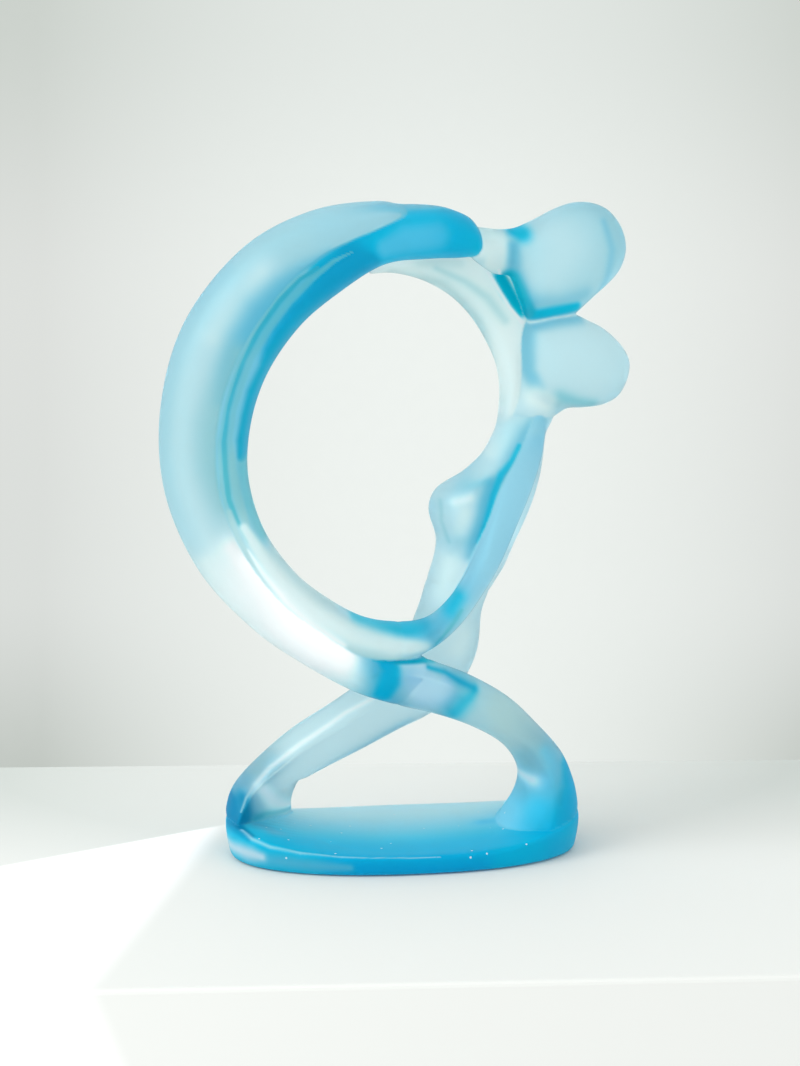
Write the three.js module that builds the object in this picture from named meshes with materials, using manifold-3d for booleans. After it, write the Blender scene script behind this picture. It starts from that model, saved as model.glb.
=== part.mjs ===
import * as THREE from "three";
import { mergeVertices } from "three/addons/utils/BufferGeometryUtils.js";
import Module from "manifold-3d";

// A sculpture of two abstract figures in frosted blue glass, in millimetres, +Z up.
// A tall figure bends over in a ring, and a small figure leans back in the tall one's arms.
// The ring lies in the plane of X and Z. The front is -Y, and the origin is under the base's middle.

// Joints between the pieces
const jointGap = 0.3;

// Base
const baseLength = 160.4;
const baseDepth = 90;
const baseHeight = 8.2;
const baseEndRise = 9;
const baseRoundness = 2.25;
const baseEdgeRadius = 1.6;
const baseEndDraft = 1.8;
const dishDepth = 2;
const dishLength = 88;
const dishWidth = 74;

// Feet on the base
const tallFootLength = 42;
const tallFootDepth = 62;
const smallFootLength = 34;
const smallFootFront = 12;
const smallFootMiddle = 19;
const smallFootBack = 38;

// How far the legs stand before and behind the ring's plane where they cross
const tallCrossingOffset = 12;
const smallCrossingOffset = 14;

// Middle of the ring's opening
const ringX = -9;
const ringZ = 182;

// The ring's arm and back, as shares of the width that each shows: how far each reaches on behind the
// crease between them, and how far from the crease each is foremost. The back keeps a wall over the arm.
const ringTuck = 0.52;
const ringCrest = 0.45;
const backWall = 2.5;

// Heads and necks, from front to back
const tallHeadDepth = 41;
const tallNeckDepth = 18;
const smallHeadDepth = 40.5;
const smallNeckDepth = 19;

// Fineness of the faces
const arcSteps = 7;
const ringPitch = 5.2;
const headPitch = 4;
const baseSides = 52;

const wasm = await Module();
wasm.setup();

const halfBase = baseLength / 2;
const rootHeight = baseHeight / 2;

// A point of the ring's plane, as x and z, at a clock angle from +X towards +Z and a radius.
function polar(degrees, radius) {
  const angle = THREE.MathUtils.degToRad(degrees);
  return [ringX + radius * Math.cos(angle), ringZ + radius * Math.sin(angle)];
}

// A point of the ring's plane, measured from the ring's middle.
function fromRing(x, z) {
  return [ringX + x, ringZ + z];
}

// Points of the ring's plane, measured inwards from the base's right and left ends.
function fromRight(inset, z) {
  return [halfBase - inset, z];
}

function fromLeft(inset, z) {
  return [inset - halfBase, z];
}

// A station is one section of a limb. Its inner and outer edges are points in the ring's plane.
// mid is the y of those edges, and front and back are how far the section reaches before and behind it.
// ridge and heel place the foremost and rearmost points between the inner edge, 0, and the outer, 1.
// edge sharpens the front ridge, swell rounds the facet between it and the outer edge, from 0, flat,
// to 1, round, and skew moves the outer edge back and the inner edge forward.
function station(inner, outer, mid, front, back, shape = {}) {
  const { ridge = 0.5, heel = 0.5, edge = 0, swell = 1, skew = 0 } = shape;
  return { inner, outer, mid, front, back, ridge, heel, edge, swell, skew };
}

function smoothRow(stations, pick) {
  const points = stations.map((s) => new THREE.Vector3(...pick(s)));
  return new THREE.CatmullRomCurve3(points, false, "catmullrom", 0.5);
}

function distance(from, to) {
  return Math.hypot(to[0] - from[0], to[1] - from[1]);
}

// The stations of a limb with smooth ones added between them. order says which station a section is.
function fillStations(stations, pitch = ringPitch) {
  const inner = smoothRow(stations, (s) => [s.inner[0], 0, s.inner[1]]);
  const outer = smoothRow(stations, (s) => [s.outer[0], 0, s.outer[1]]);
  const depth = smoothRow(stations, (s) => [s.mid, s.front, s.back]);
  const shape = smoothRow(stations, (s) => [s.ridge, s.heel, s.edge]);
  const facet = smoothRow(stations, (s) => [s.swell, s.skew, 0]);
  const spans = stations.length - 1;
  const section = (order) => {
    const t = order / spans;
    const i = inner.getPoint(t);
    const o = outer.getPoint(t);
    const d = depth.getPoint(t);
    const s = shape.getPoint(t);
    const f = facet.getPoint(t);
    return {
      order,
      inner: [i.x, i.z],
      outer: [o.x, o.z],
      mid: d.x,
      front: d.y,
      back: d.z,
      ridge: THREE.MathUtils.clamp(s.x, 0, 1),
      heel: THREE.MathUtils.clamp(s.y, 0, 1),
      edge: THREE.MathUtils.clamp(s.z, 0, 1),
      swell: THREE.MathUtils.clamp(f.x, 0, 1),
      skew: f.y,
    };
  };
  const filled = [];
  for (let span = 0; span < spans; span += 1) {
    const from = stations[span];
    const to = stations[span + 1];
    const run = (distance(from.inner, to.inner) + distance(from.outer, to.outer)) / 2;
    const steps = Math.max(1, Math.round(run / pitch));
    for (let step = 0; step < steps; step += 1) filled.push(section(span + step / steps));
  }
  filled.push(section(spans));
  return filled;
}

// The outline of a section, as points of distance from the inner edge and y, in four arcs.
function sectionOutline(s) {
  const width = distance(s.inner, s.outer);
  const inner = new THREE.Vector2(0, s.mid - s.skew);
  const outer = new THREE.Vector2(width, s.mid + s.skew);
  const front = new THREE.Vector2(s.ridge * width, s.mid - s.front);
  const back = new THREE.Vector2(s.heel * width, s.mid + s.back);
  const roundness = 0.56;
  const ridgeFall = 0.5;
  // From an edge of the section, where it runs along y, to its front or back, where it runs across.
  const arc = (side, top, sharpness, swell) => {
    const sideHandle = new THREE.Vector2(side.x, THREE.MathUtils.lerp(side.y, top.y, roundness));
    const topHandle = new THREE.Vector2(
      THREE.MathUtils.lerp(top.x, side.x, roundness),
      THREE.MathUtils.lerp(top.y, side.y, ridgeFall * sharpness),
    );
    sideHandle.lerp(side.clone().lerp(top, 1 / 3), 1 - swell);
    topHandle.lerp(side.clone().lerp(top, 2 / 3), 1 - swell);
    return new THREE.CubicBezierCurve(side, sideHandle, topHandle, top).getPoints(arcSteps);
  };
  return [
    ...arc(inner, front, s.edge, 1).slice(0, -1),
    ...arc(outer, front, s.edge, s.swell).reverse().slice(0, -1),
    ...arc(outer, back, 0, 1).slice(0, -1),
    ...arc(inner, back, 0, 1).reverse().slice(0, -1),
  ];
}

// Moves each point of a closed outline outwards by the same distance.
function growOutline(points, growth) {
  const middle = points.reduce((sum, p) => sum.add(p), new THREE.Vector2()).divideScalar(points.length);
  return points.map((point, index) => {
    const before = points[(index + points.length - 1) % points.length];
    const after = points[(index + 1) % points.length];
    const outward = new THREE.Vector2(after.y - before.y, before.x - after.x).normalize();
    if (outward.dot(point.clone().sub(middle)) < 0) outward.negate();
    return point.clone().addScaledVector(outward, growth);
  });
}

// A section's ring of points in space.
function sectionRing(s, growth = 0) {
  const width = distance(s.inner, s.outer);
  const acrossX = (s.outer[0] - s.inner[0]) / width;
  const acrossZ = (s.outer[1] - s.inner[1]) / width;
  return growOutline(sectionOutline(s), growth).map((p) => new THREE.Vector3(
    s.inner[0] + acrossX * p.x,
    p.y,
    s.inner[1] + acrossZ * p.x,
  ));
}

function ringMiddle(ring) {
  return ring.reduce((sum, point) => sum.add(point), new THREE.Vector3()).divideScalar(ring.length);
}

// A closed surface through a row of rings with the same number of points, with flat ends.
function skin(rings) {
  const positions = [];
  const triangle = (a, b, c) => positions.push(...a, ...b, ...c);
  for (let row = 0; row < rings.length - 1; row += 1) {
    const here = rings[row];
    const next = rings[row + 1];
    here.forEach((point, index) => {
      const after = (index + 1) % here.length;
      triangle(point, here[after], next[after]);
      triangle(point, next[after], next[index]);
    });
  }
  const first = rings[0];
  const last = rings[rings.length - 1];
  const firstMiddle = ringMiddle(first);
  const lastMiddle = ringMiddle(last);
  first.forEach((point, index) => triangle(firstMiddle, first[(index + 1) % first.length], point));
  last.forEach((point, index) => triangle(lastMiddle, point, last[(index + 1) % last.length]));
  const geometry = new THREE.BufferGeometry();
  geometry.setAttribute("position", new THREE.Float32BufferAttribute(positions, 3));
  return geometry;
}

// Six times the volume inside a closed mesh, below zero when its faces point in.
function signedVolume(vertices, triangles) {
  const a = new THREE.Vector3();
  const b = new THREE.Vector3();
  const c = new THREE.Vector3();
  let sum = 0;
  for (let i = 0; i < triangles.length; i += 3) {
    a.fromArray(vertices, triangles[i] * 3);
    b.fromArray(vertices, triangles[i + 1] * 3);
    c.fromArray(vertices, triangles[i + 2] * 3);
    sum += a.dot(b.cross(c));
  }
  return sum;
}

// A closed mesh as a solid that can be cut and joined, with its faces pointing out.
function toSolid(geometry) {
  const bare = new THREE.BufferGeometry();
  bare.setAttribute("position", geometry.getAttribute("position"));
  if (geometry.index) bare.setIndex(geometry.index);
  const merged = mergeVertices(bare, 1e-4);
  const vertProperties = new Float32Array(merged.getAttribute("position").array);
  const corners = merged.index.array;
  const kept = [];
  for (let i = 0; i < corners.length; i += 3) {
    const [a, b, c] = [corners[i], corners[i + 1], corners[i + 2]];
    if (a !== b && b !== c && c !== a) kept.push(a, b, c);
  }
  const triVerts = new Uint32Array(kept);
  if (signedVolume(vertProperties, triVerts) < 0) {
    for (let i = 0; i < triVerts.length; i += 3) {
      [triVerts[i + 1], triVerts[i + 2]] = [triVerts[i + 2], triVerts[i + 1]];
    }
  }
  return new wasm.Manifold(new wasm.Mesh({ numProp: 3, vertProperties, triVerts }));
}

function toGeometry(solid) {
  const mesh = solid.getMesh();
  const geometry = new THREE.BufferGeometry();
  geometry.setAttribute("position", new THREE.BufferAttribute(mesh.vertProperties, 3));
  geometry.setIndex(new THREE.BufferAttribute(mesh.triVerts, 1));
  geometry.computeVertexNormals();
  return geometry;
}

// The direction that a limb runs in at one of its filled stations.
function heading(filled, index) {
  const before = ringMiddle(sectionRing(filled[Math.max(index - 1, 0)]));
  const after = ringMiddle(sectionRing(filled[Math.min(index + 1, filled.length - 1)]));
  return after.sub(before).normalize();
}

// A limb, or the stretch of it between two of its stations by number. The two pulls shorten its ends,
// square to them, and growth makes it thicker all round.
function limb(filled, { from = 0, to = filled.at(-1).order, pullStart = 0, pullEnd = 0, growth = 0 } = {}) {
  const start = filled.findIndex((s) => s.order === from);
  const end = filled.findIndex((s) => s.order === to);
  const rings = filled.slice(start, end + 1).map((s) => sectionRing(s, growth));
  const startShift = heading(filled, start).multiplyScalar(pullStart);
  const endShift = heading(filled, end).multiplyScalar(-pullEnd);
  rings[0].forEach((point) => point.add(startShift));
  rings.at(-1).forEach((point) => point.add(endShift));
  return toSolid(skin(rings));
}

// A limb with a joint's clearance all round it, which its neighbours are cut by.
function roomFor(filled) {
  return limb(filled, { pullStart: -jointGap, pullEnd: -jointGap, growth: jointGap });
}

// A ring of points round the base's oval, moved in by an inset, and more at its ends where its wall
// leans in. height gives each point's z.
function baseRing(inset, height, draft = 0) {
  const ring = [];
  for (let side = 0; side < baseSides; side += 1) {
    const angle = (side / baseSides) * 2 * Math.PI;
    const cos = Math.cos(angle);
    const sin = Math.sin(angle);
    const x = Math.sign(cos) * Math.abs(cos) ** (2 / baseRoundness) * (halfBase - inset - draft);
    const y = Math.sign(sin) * Math.abs(sin) ** (2 / baseRoundness) * (baseDepth / 2 - inset);
    ring.push(new THREE.Vector3(x, y, height(x)));
  }
  return ring;
}

// The height of the base's top, which rises from its middle to its two ends.
function topHeight(x) {
  return baseHeight + baseEndRise * Math.abs(x / halfBase) ** 3;
}

// A ring of points in the base's dish, where share is 1 at its edge and 0 at its middle.
function dishRing(share, growth) {
  const ring = [];
  const dip = dishDepth * (1 - share ** 2) ** 2;
  for (let side = 0; side < baseSides; side += 1) {
    const angle = (side / baseSides) * 2 * Math.PI;
    const x = (Math.cos(angle) * share * dishLength) / 2;
    const y = (Math.sin(angle) * share * dishWidth) / 2;
    ring.push(new THREE.Vector3(x, y, topHeight(x) - dip + growth));
  }
  return ring;
}

// Base: an oval slab with rounded edges, a flat underside and a dished top that rises to its ends
function buildBase(growth = 0, draft = baseEndDraft) {
  const rings = [];
  const edgeSteps = 3;
  for (let step = 0; step <= edgeSteps; step += 1) {
    const angle = (step / edgeSteps) * (Math.PI / 2);
    const inset = baseEdgeRadius * (1 - Math.sin(angle)) - growth;
    const height = baseEdgeRadius * (1 - Math.cos(angle)) - growth;
    rings.push(baseRing(inset, () => height, draft));
  }
  for (let step = 0; step <= edgeSteps; step += 1) {
    const angle = (step / edgeSteps) * (Math.PI / 2);
    const inset = baseEdgeRadius * (1 - Math.cos(angle)) - growth;
    const drop = baseEdgeRadius * (1 - Math.sin(angle)) - growth;
    rings.push(baseRing(inset, (x) => topHeight(x) - drop));
  }
  const dishSteps = 8;
  for (let step = 0; step < dishSteps; step += 1) rings.push(dishRing(1 - step / dishSteps, growth));
  return toSolid(skin(rings));
}

// A tall column over the base's oval, which keeps the feet's walls flush with the base's.
function overBase(height) {
  return toSolid(skin([baseRing(0, () => 0), baseRing(0, () => height)]));
}

// The ring by clock angle: the radius of the opening, of the crease that runs along the ring's front
// and rear between the arm and the back, and of the ring's outside, then the section's middle, front
// and back.
const ringTable = [
  { at: 262, hole: 73.5, crease: 88.5, outside: 107, mid: -10.5, front: 15.5, back: 12.5 },
  { at: 247, hole: 69, crease: 81.7, outside: 100, mid: -9, front: 15.5, back: 13.5 },
  { at: 232, hole: 66, crease: 78.7, outside: 97.3, mid: -6.5, front: 16, back: 15 },
  { at: 212, hole: 63, crease: 75.8, outside: 97, mid: -3, front: 17, back: 17 },
  { at: 190, hole: 60.7, crease: 75, outside: 98, mid: 0, front: 18, back: 18 },
  { at: 168, hole: 60, crease: 75.3, outside: 100, mid: 0, front: 18.5, back: 18.5 },
  { at: 146, hole: 62, crease: 78, outside: 104.5, mid: 0, front: 18, back: 18 },
  { at: 124, hole: 66.5, crease: 84, outside: 108.7, mid: 0, front: 17, back: 17 },
  { at: 106, hole: 72.5, crease: 91.5, outside: 110.2, mid: -1, front: 15, back: 15 },
  { at: 90, hole: 82, crease: 100, outside: 109.8, mid: -2, front: 12.5, back: 12.5 },
];

// Tall figure: its right leg stands at the base's right end, crosses in front and bends round the ring
const tallLegStations = [
  station(fromRight(0, rootHeight), fromRight(tallFootLength, rootHeight),
    0, tallFootDepth / 2, tallFootDepth / 2, { ridge: 0.55, heel: 0.55, edge: 0.3 }),
  station(fromRight(0.2, 16), fromRight(33.6, 14.5), 0, 27, 28, { ridge: 0.48, heel: 0.48, edge: 0.4 }),
  station(fromRight(1, 24), fromRight(28.9, 22.5), 0, 23.5, 24.5, { edge: 0.4 }),
  station(fromRight(3.2, 32), fromRight(27.2, 31.5), -1, 20.5, 21.5, { edge: 0.4 }),
  station(fromRight(8.5, 43.5), fromRight(29.9, 40.5), -3, 17.5, 18, { edge: 0.2 }),
  station(fromRight(19.7, 56.7), fromRight(37.7, 50), -6, 15.5, 15),
  station(fromRing(55.5, -111.5), fromRing(37.5, -123.5), -9, 14.5, 13),
  station(fromRing(37, -100), fromRing(21, -117), -tallCrossingOffset, 14, 12, { ridge: 0.32, edge: 0.3 }),
  station(fromRing(19, -92.5), fromRing(4, -112.5), -tallCrossingOffset, 14.5, 12,
    { ridge: 0.25, edge: 0.6 }),
];
const backCrest = (ringTuck + ringCrest) / (1 + ringTuck);
const armCrest = (1 - ringCrest) / (1 + ringTuck);
const tallBackStations = [
  ...ringTable.map((s) => station(
    polar(s.at, s.crease - ringTuck * (s.outside - s.crease)),
    polar(s.at, s.outside),
    s.mid, s.front, s.back, { ridge: backCrest, heel: backCrest },
  )),
  station(polar(83, 99), polar(83, 107.5), -3, 8, 8),
];
const tallBody = fillStations([...tallLegStations, ...tallBackStations]);
const hipOrder = tallLegStations.length - 1;

// Tall figure's arm: it leaves the shoulder, lies along the ring's opening and rises to the nape
const tallUpperArmStations = [
  station(fromRing(42.3, 87.5), fromRing(42, 95.5), -4, 7.5, 6),
  station(fromRing(40.8, 85.6), fromRing(40.2, 99.8), -4, 11, 9),
  station(fromRing(37.5, 85.2), fromRing(37.2, 102.8), -4, 13, 11),
  station(fromRing(31, 84.8), fromRing(31, 105.6), -4, 14.5, 12.5, { ridge: 0.45 }),
  station(fromRing(19, 84.5), fromRing(20.5, 108), -3.5, 15, 13, { ridge: 0.45, heel: 0.45 }),
  ...ringTable.toReversed().map((s) => station(
    polar(s.at, s.hole),
    polar(s.at, Math.min(s.crease + ringTuck * (s.crease - s.hole), s.outside - backWall)),
    s.mid, s.front, s.back, { ridge: armCrest, heel: armCrest },
  )),
  station(fromRing(6, -75.5), fromRing(4.5, -94), -11, 14.5, 12, { ridge: 0.4, heel: 0.4 }),
];
const tallForearmStations = [
  station(fromRing(18, -73.5), fromRing(21, -86.5), -12.5, 12, 10),
  station(fromRing(27, -66), fromRing(33, -76), -13.5, 10.5, 9),
  station(fromRing(35, -55.5), fromRing(42.5, -64), -12, 9.5, 9),
  station(fromRing(40, -45), fromRing(51, -51), -9.5, 8.5, 9, { ridge: 0.4 }),
  station(fromRing(45, -31), fromRing(58.5, -35), -7.5, 8.5, 9, { ridge: 0.3 }),
  station(fromRing(49, -18), fromRing(65, -20), -6.5, 8, 9, { ridge: 0.3 }),
  station(fromRing(54, -5), fromRing(70, -5), -5.5, 8, 8, { ridge: 0.3 }),
  station(fromRing(60, 7), fromRing(72, 8), -4.5, 7.5, 7, { ridge: 0.4 }),
  station(fromRing(64, 15), fromRing(72, 16), -4, 5, 5),
];
const tallArm = fillStations([...tallUpperArmStations, ...tallForearmStations]);
const elbowOrder = tallUpperArmStations.length - 1;

// Small figure: its left leg stands at the base's left end, crosses behind and rises to the shoulder
const smallShoulder = { inner: fromRing(53, 15), outer: fromRing(77, 14) };
const smallLegStations = [
  station(fromLeft(0, rootHeight), fromLeft(smallFootLength, rootHeight),
    smallFootMiddle, smallFootMiddle + smallFootFront, smallFootBack - smallFootMiddle,
    { ridge: 0.1, heel: 0.8, skew: 11, edge: 1, swell: 0.35 }),
  station(fromLeft(-0.3, 16), fromLeft(32, 17), 16, 28, 18,
    { ridge: 0.14, heel: 0.75, skew: 9, edge: 1, swell: 0.4 }),
  station(fromLeft(4.8, 29.5), fromLeft(34.6, 28.3), 13, 23, 15,
    { ridge: 0.2, heel: 0.6, skew: 4, edge: 0.9, swell: 0.5 }),
  station(fromLeft(17.6, 43.5), fromLeft(38, 31.2), 10, 19, 14,
    { ridge: 0.25, skew: 2, edge: 0.8, swell: 0.6 }),
  station(fromLeft(32.1, 55), fromLeft(49.2, 37.5), 10, 17, 13.5, { ridge: 0.28, edge: 0.8, swell: 0.7 }),
  station(fromRing(-22.5, -117), fromRing(-7.5, -137.8), 11, 15, 13.5, { ridge: 0.3, edge: 0.8, swell: 0.8 }),
  station(fromRing(-6, -106.5), fromRing(9, -130), smallCrossingOffset, 14, 13, { ridge: 0.35, edge: 0.6 }),
  station(fromRing(6, -96), fromRing(25, -122), smallCrossingOffset, 14, 13),
  station(fromRing(13, -86), fromRing(38, -108), 12, 14, 13.5),
  station(fromRing(15.5, -78), fromRing(44.5, -92), 10, 14, 14),
  station(fromRing(18, -70), fromRing(45.5, -76), 7.5, 13, 13.5),
  station(fromRing(20.5, -60), fromRing(49, -65), 6, 12.5, 13),
];
const smallTorsoStations = [
  station(fromRing(23.5, -50), fromRing(55, -55), 5, 12.5, 13),
  station(fromRing(24.5, -40), fromRing(60, -44), 4.5, 15, 13.5, { ridge: 0.35, swell: 0.8 }),
  station(fromRing(21, -27.5), fromRing(66, -31), 3.5, 19, 14, { ridge: 0.27, swell: 0.6 }),
  station(fromRing(24.5, -18), fromRing(69.5, -21), 3, 18.5, 14, { ridge: 0.27, swell: 0.6 }),
  station(fromRing(35, -11.5), fromRing(71.5, -12), 2, 16.5, 13.5, { ridge: 0.3, swell: 0.7 }),
  station(fromRing(44, -3.5), fromRing(72.5, -2), 1, 14.5, 13, { ridge: 0.4, swell: 0.9 }),
  station(fromRing(49, 5.5), fromRing(73.5, 7), 0, 12, 12),
  station(smallShoulder.inner, smallShoulder.outer, 0, smallNeckDepth / 2, smallNeckDepth / 2),
];
const smallBody = fillStations([...smallLegStations, ...smallTorsoStations]);
const waistOrder = smallLegStations.length - 1;

// Small figure's arm: it leaves the shoulder, lies along the opening and passes behind the tall neck
const smallArm = fillStations([
  station(fromRing(50.5, 9), fromRing(60, 8), 1, 8, 8),
  station(fromRing(52.5, 22), fromRing(62.5, 24), 1, 8.5, 8.5),
  station(fromRing(51.5, 35), fromRing(63.5, 37), 2, 9, 9),
  station(fromRing(47, 47), fromRing(66.5, 55), 5, 9, 9, { ridge: 0.4 }),
  station(fromRing(40, 58.5), fromRing(63, 71), 8.5, 9, 9, { ridge: 0.33 }),
  station(fromRing(31, 67.5), fromRing(52.5, 85), 12, 8.5, 9, { ridge: 0.33 }),
  station(fromRing(19, 74), fromRing(31, 89), 15, 8.5, 8.5, { ridge: 0.4 }),
  station(fromRing(6, 77), fromRing(9, 90.5), 16.5, 8, 8),
  station(fromRing(-4, 76.5), fromRing(-6, 86), 15.5, 6, 6),
]);

// Heads, each with its neck, as points of the lower and upper edge and a share of the head's depth
function headStations(depth, rows) {
  return rows.map(([innerX, innerZ, outerX, outerZ, share]) => {
    const reach = (depth / 2) * share;
    return station(fromRing(innerX, innerZ), fromRing(outerX, outerZ), 0, reach, reach);
  });
}

const tallHead = fillStations([
  station(fromRing(36, 86.5), fromRing(35.5, 99.5), -3, tallNeckDepth / 2, tallNeckDepth / 2),
  station(fromRing(49, 77.5), fromRing(49, 97.2), -1, tallNeckDepth / 2, tallNeckDepth / 2),
  station(fromRing(56.5, 76.5), fromRing(57.5, 97.3), 0, tallNeckDepth / 2, tallNeckDepth / 2),
  ...headStations(tallHeadDepth, [
    [60, 69.5, 63, 99.2, 0.64],
    [62.6, 62, 69.5, 102.2, 0.82],
    [65.5, 56.3, 76, 105.5, 0.93],
    [74.5, 56.6, 84, 108.2, 1],
    [83.5, 58.5, 91.5, 108.4, 1],
    [89, 62.7, 98, 106.4, 0.91],
    [94, 67.2, 102.3, 103, 0.78],
    [99.8, 72.2, 105.8, 98, 0.6],
    [104, 76.6, 107.7, 92.8, 0.4],
    [106.7, 81.8, 108.2, 88, 0.17],
  ]),
], headPitch);
const smallHead = fillStations([
  station(smallShoulder.inner, smallShoulder.outer, 0, smallNeckDepth / 2, smallNeckDepth / 2),
  ...headStations(smallHeadDepth, [
    [58, 26, 82.5, 17.4, 0.54],
    [60.6, 36, 87.5, 17.6, 0.74],
    [61, 46, 92.5, 17.9, 0.9],
    [64.2, 56, 97, 18.4, 0.98],
    [74.5, 58.6, 101, 19.8, 1],
    [84, 59.6, 104.8, 22, 0.95],
    [91.5, 56.4, 107.5, 25.6, 0.83],
    [98.4, 52.9, 109.4, 29.8, 0.65],
    [104.4, 47.8, 110.4, 33.6, 0.42],
    [108.6, 42.6, 110.7, 37, 0.18],
  ]),
], headPitch);

// The pieces, each cut back where a piece named before it passes
const halfGap = jointGap / 2;
const tallBodyRoom = roomFor(tallBody);
const tallArmRoom = roomFor(tallArm);
const smallBodyRoom = roomFor(smallBody);
const tallHeadRoom = roomFor(tallHead);
const smallHeadRoom = roomFor(smallHead);
const columnHeight = ringZ;

const base = buildBase();
const baseRoom = buildBase(jointGap, 0);
const tallLeg = limb(tallBody, { to: hipOrder, pullEnd: halfGap })
  .intersect(overBase(columnHeight))
  .subtract(baseRoom)
  .subtract(tallArmRoom);
const tallBack = limb(tallBody, { from: hipOrder, pullStart: halfGap }).subtract(tallArmRoom);
const tallUpperArm = limb(tallArm, { to: elbowOrder, pullEnd: halfGap });
const tallForearm = limb(tallArm, { from: elbowOrder, pullStart: halfGap });
const tallHeadPiece = limb(tallHead).subtract(tallArmRoom);
const smallLeg = limb(smallBody, { to: waistOrder, pullEnd: halfGap })
  .intersect(overBase(columnHeight))
  .subtract(baseRoom)
  .subtract(tallBodyRoom)
  .subtract(tallArmRoom);
const smallTorso = limb(smallBody, { from: waistOrder, pullStart: halfGap })
  .subtract(tallBodyRoom)
  .subtract(tallArmRoom);
const smallHeadPiece = limb(smallHead)
  .subtract(tallArmRoom)
  .subtract(smallBodyRoom)
  .subtract(tallHeadRoom);
const smallArmPiece = limb(smallArm)
  .subtract(tallArmRoom)
  .subtract(tallBodyRoom)
  .subtract(smallBodyRoom)
  .subtract(tallHeadRoom)
  .subtract(smallHeadRoom);

const sculpture = new THREE.Group();

function addPiece(name, solid, colour) {
  const frostedGlass = new THREE.MeshStandardMaterial({ color: colour, roughness: 0.5, metalness: 0 });
  const mesh = new THREE.Mesh(toGeometry(solid), frostedGlass);
  mesh.name = name;
  sculpture.add(mesh);
}

addPiece("base_plinth", base, 0x1aa7d6);
addPiece("tall_figure_leg", tallLeg, 0x9fd6e4);
addPiece("tall_figure_back", tallBack, 0x9fd0e4);
addPiece("tall_figure_upper_arm", tallUpperArm, 0x4cb8dc);
addPiece("tall_figure_forearm", tallForearm, 0x7cc6e4);
addPiece("tall_figure_head", tallHeadPiece, 0xa6d6e2);
addPiece("small_figure_leg", smallLeg, 0xb4dce2);
addPiece("small_figure_torso", smallTorso, 0xa8d6e2);
addPiece("small_figure_head", smallHeadPiece, 0xaad8e2);
addPiece("small_figure_arm", smallArmPiece, 0xc6e2de);

export default sculpture;
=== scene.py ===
import math
import bpy
import numpy as np
import openvdb
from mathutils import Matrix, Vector
from mathutils.bvhtree import BVHTree


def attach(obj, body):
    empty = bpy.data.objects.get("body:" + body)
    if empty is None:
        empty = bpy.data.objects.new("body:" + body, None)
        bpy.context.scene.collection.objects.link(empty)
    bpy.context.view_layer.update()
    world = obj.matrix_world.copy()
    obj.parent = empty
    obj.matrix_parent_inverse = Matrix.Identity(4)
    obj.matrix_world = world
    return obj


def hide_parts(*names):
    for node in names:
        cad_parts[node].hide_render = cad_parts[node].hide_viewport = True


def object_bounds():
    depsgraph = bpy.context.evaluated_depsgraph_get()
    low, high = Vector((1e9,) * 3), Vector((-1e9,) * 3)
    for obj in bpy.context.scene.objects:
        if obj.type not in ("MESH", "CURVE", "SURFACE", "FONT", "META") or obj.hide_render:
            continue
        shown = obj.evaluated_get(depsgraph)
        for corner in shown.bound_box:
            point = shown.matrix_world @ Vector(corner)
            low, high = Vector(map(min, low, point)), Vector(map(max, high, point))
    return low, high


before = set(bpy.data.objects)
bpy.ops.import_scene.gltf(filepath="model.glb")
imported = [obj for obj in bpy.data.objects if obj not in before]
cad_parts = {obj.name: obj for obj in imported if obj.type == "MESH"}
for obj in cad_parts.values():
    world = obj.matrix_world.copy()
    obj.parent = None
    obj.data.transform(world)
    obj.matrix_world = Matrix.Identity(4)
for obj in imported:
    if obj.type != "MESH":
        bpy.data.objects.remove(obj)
cadLow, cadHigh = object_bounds()
scene = bpy.context.scene
print("the frame is in")

# Camera: the place that the photograph was taken from
camera = {
    "azimuth": -8.0,               # degrees, 0 looks along +Y
    "elevation": 9.8,              # degrees above the table
    "distance": 1.268,             # metres from the aim
    "aim": (-0.0013, 0.0, 0.1446),
    "focal": 2850.0,               # focal length in the picture's pixels
    "picture": (800, 1066),        # its pixels
    "sensor": 36.0,                # mm
    "clip": (0.05, 30.0),          # metres
}


def cameraAxes():
    # the camera's place, and its right, up and back
    turn, rise = math.radians(camera["azimuth"]), math.radians(camera["elevation"])
    back = Vector((math.sin(turn) * math.cos(rise), -math.cos(turn) * math.cos(rise), math.sin(rise)))
    right = Vector((math.cos(turn), math.sin(turn), 0))
    return Vector(camera["aim"]) + back * camera["distance"], right, back.cross(right), back


def sightLine(u, w):
    # the line of sight through one of the picture's pixels
    start, right, up, back = cameraAxes()
    wide, high = camera["picture"]
    across = right * (u - wide / 2) + up * (high / 2 - w)
    return start, (across / camera["focal"] - back).normalized()


def sightPoint(u, w, origin, normal):
    # where that line meets a plane
    start, ray = sightLine(u, w)
    return start + ray * ((origin - start).dot(normal) / ray.dot(normal))


def addCamera():
    start, right, up, back = cameraAxes()
    lens = bpy.data.cameras.new("photoView")
    lens.sensor_width = camera["sensor"]
    lens.lens = camera["focal"] / camera["picture"][1] * lens.sensor_width
    lens.clip_start, lens.clip_end = camera["clip"]
    viewer = bpy.data.objects.new("photoView", lens)
    viewer.location = start
    viewer.rotation_mode = "QUATERNION"
    viewer.rotation_quaternion = (-back).to_track_quat("-Z", "Y")
    scene.collection.objects.link(viewer)
    scene.camera = viewer


addCamera()
print("the camera stands")

# The casting: one smooth skin over all the frame's nodes, whose joints don't show on cast glass
casting = {
    "voxel": 0.0007,       # metres, the fineness of the distance grid
    "band": 6,             # voxels each side of the surface
    "grow": 0.00025,       # closes the joints between the nodes before they are blended
    "soften": 0.0008,      # radius of the blur that rounds the creases
    "creaseAngle": 34.0,   # degrees between a node's facets above which an edge stays sharp
    "patchSteps": 3,       # each facet becomes this many squared
    "flatUnder": 0.999,    # facets that face down more squarely than this stay flat
}


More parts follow.
